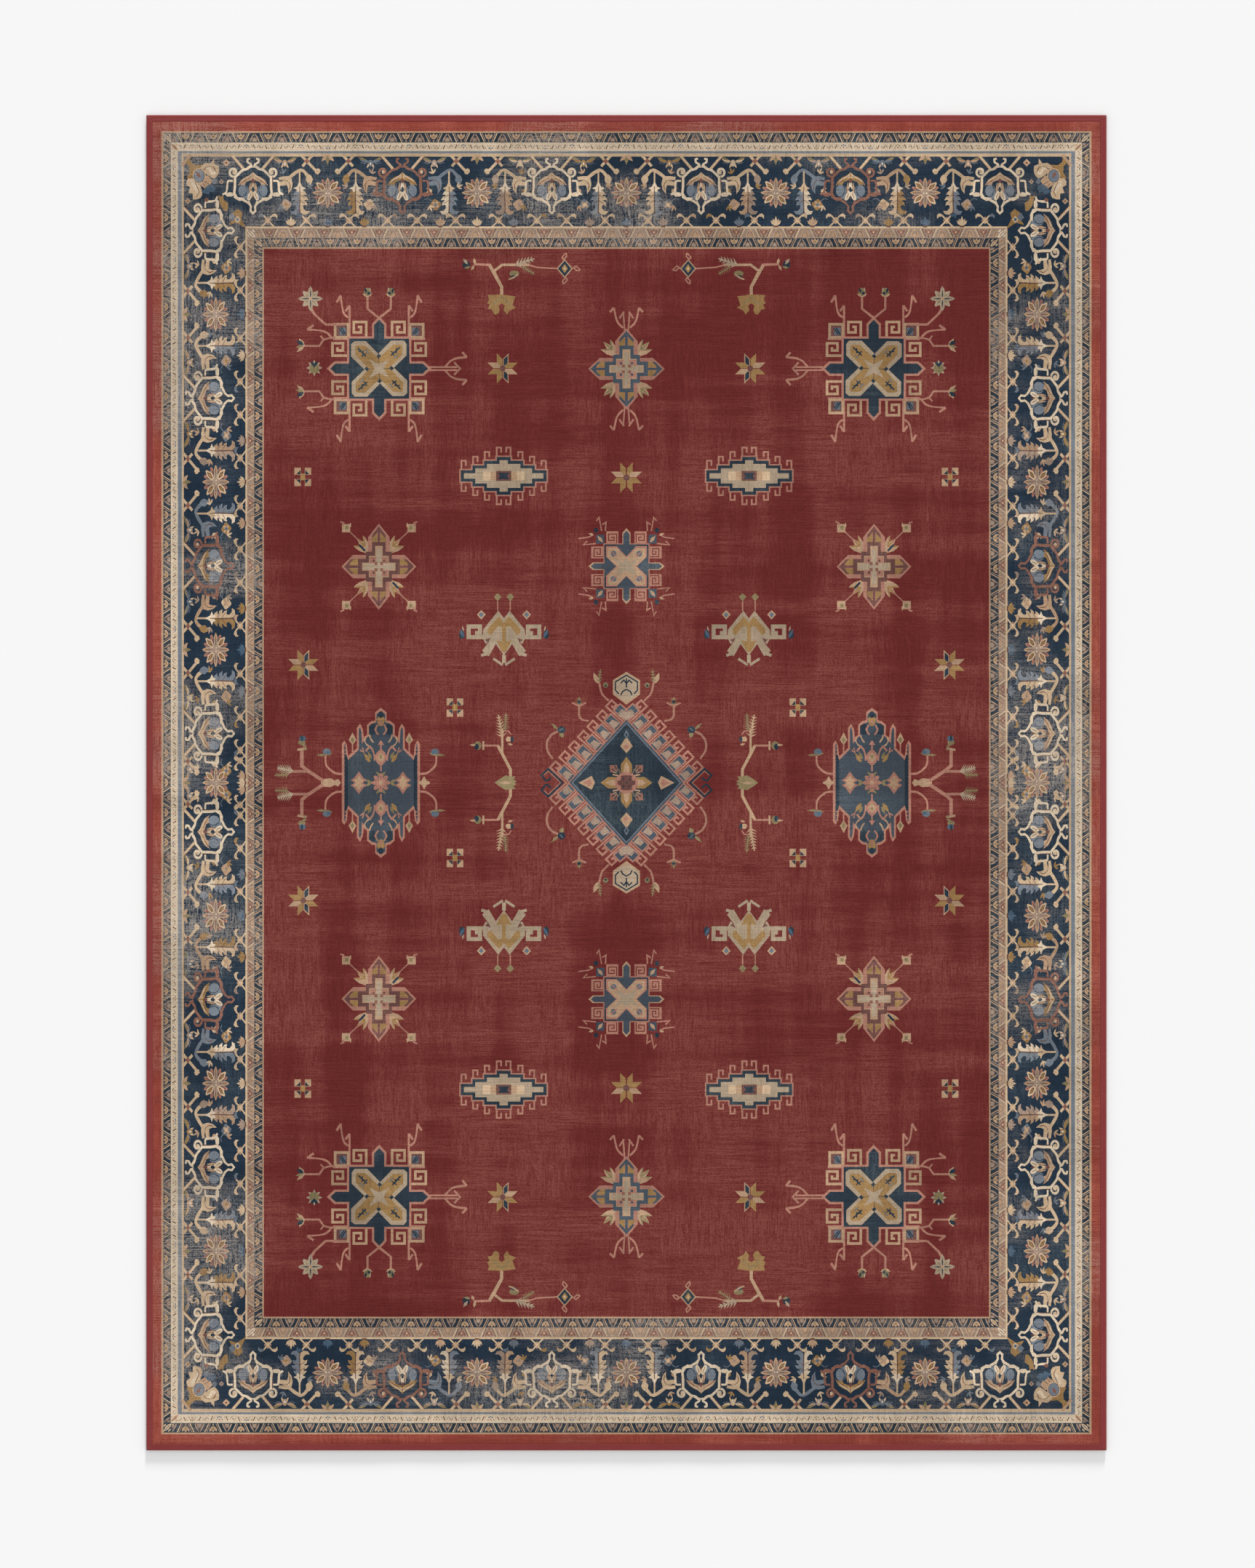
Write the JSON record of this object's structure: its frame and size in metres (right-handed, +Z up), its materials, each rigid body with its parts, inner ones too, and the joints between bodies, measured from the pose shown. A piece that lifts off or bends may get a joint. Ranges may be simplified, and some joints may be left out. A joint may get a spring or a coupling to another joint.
{
  "type": "area rug",
  "caption": "Rectangular low-pile area rug: a bordered medallion-pattern cover with a taped edge, lying on a thin non-slip pad.",
  "frame": {"origin": "on the floor, under the centre of the rug", "axes": "+Y along the rug's length, +X across its width, +Z up through the walking face"},
  "size_m": [1.524, 2.12, 0.0072],
  "materials": {
    "grip_rubber": "matt moulded non-slip rubber",
    "pad_felt": "needled grey felt",
    "loop_backing": "brushed knit",
    "barrier_film": "thin flexible film",
    "printed_face": "low-pile printed cloth, red field, navy border",
    "edge_tape": "plain woven cotton tape, brick red",
    "thread": "matt polyester sewing thread",
    "care_label": "blank satin ribbon"
  },
  "bodies": {
    "pad": {"pad_grip_base": "grip_rubber", "pad_felt": "pad_felt"},
    "cover": {"loop_backing": "loop_backing", "barrier_film": "barrier_film", "printed_face": "printed_face", "edge_tape_left": "edge_tape", "edge_tape_right": "edge_tape", "edge_tape_near": "edge_tape", "edge_tape_far": "edge_tape", "needle_thread_left": "thread", "needle_thread_right": "thread", "needle_thread_near": "thread", "needle_thread_far": "thread", "bobbin_thread_left": "thread", "bobbin_thread_right": "thread", "bobbin_thread_near": "thread", "bobbin_thread_far": "thread", "corner_tack_near_left": "thread", "corner_tack_near_right": "thread", "corner_tack_far_left": "thread", "corner_tack_far_right": "thread", "care_label": "care_label", "label_thread": "thread"}
  },
  "joints": [
    {"name": "cover_lift", "type": "slide", "parent": "pad", "child": "cover", "axis": [0, 0, 1], "range_m": [0, 0.25]}
  ]
}
